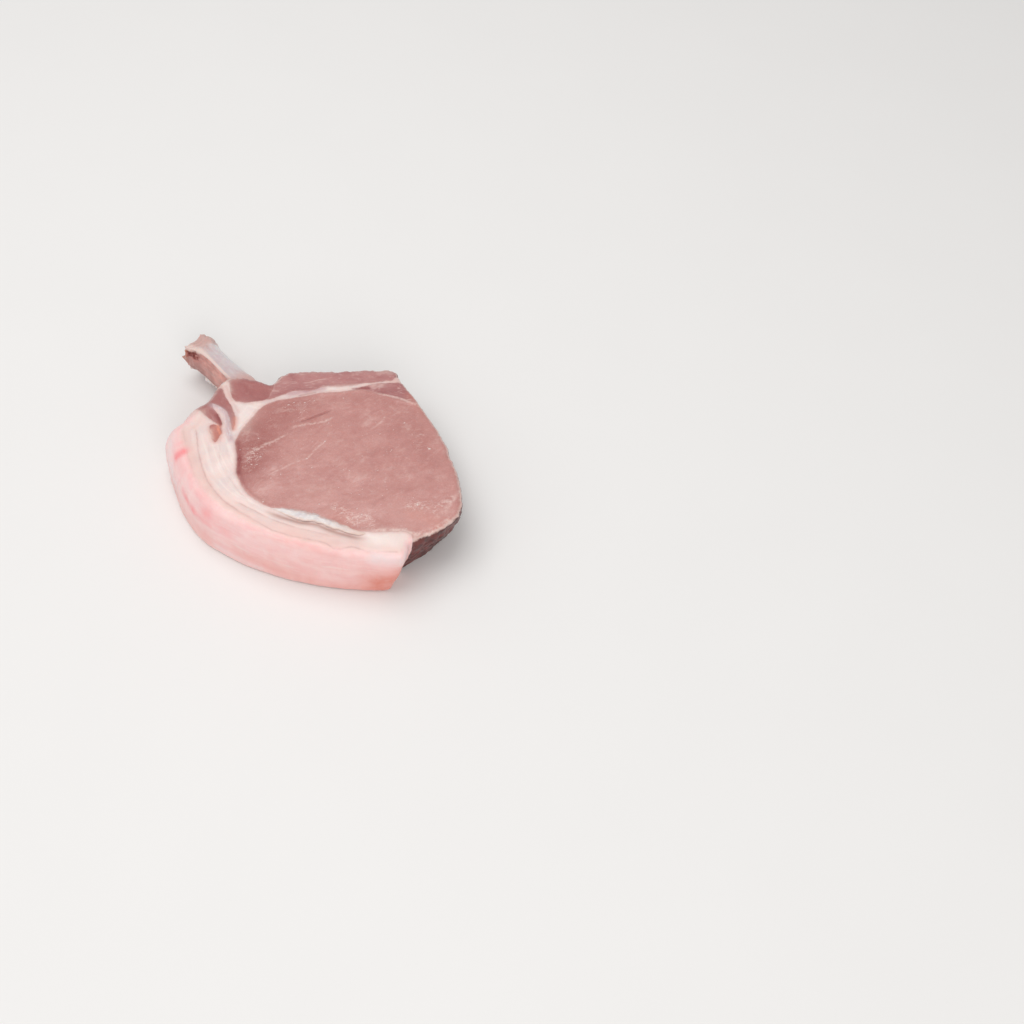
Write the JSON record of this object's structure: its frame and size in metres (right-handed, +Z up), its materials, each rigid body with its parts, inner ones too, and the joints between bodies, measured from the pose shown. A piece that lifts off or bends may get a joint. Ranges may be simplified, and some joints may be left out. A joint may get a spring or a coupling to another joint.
{
  "type": "raw pork rib chop",
  "caption": "Raw pork rib chop lying on its cut face, a pale pink loin eye in a curved cap of fat and rind, with a clean rib bone sticking out.",
  "frame": {"origin": "middle of the footprint box, on the surface the chop lies on", "axes": "+Z up out of the upper cut face, +X from the rind at the left to the lean end, +Y from the rind at the front to the side with the rib bone"},
  "size_m": [0.1352, 0.125, 0.028],
  "materials": {
    "loin_lean": "moist raw lean meat, pale greyish pink, fine grain with white flecks",
    "side_lean": "moist raw lean meat, rose pink with coarse grain",
    "dark_lean": "moist raw lean meat, dark rose",
    "fat": "smooth cream fat in thin layers, outer skin pale pink with rose stains",
    "bone": "scraped bone, bluish white on top and pink at the side, with shreds of membrane"
  },
  "bodies": {
    "root": {"loin_eye": "loin_lean", "fat_cap": "fat", "side_strip": "side_lean", "end_wedge": "side_lean", "rib_lobe": "dark_lean", "flank_streak": "dark_lean", "rind_streak": "dark_lean", "small_streak": "dark_lean", "rib_bone": "bone"}
  },
  "joints": []
}
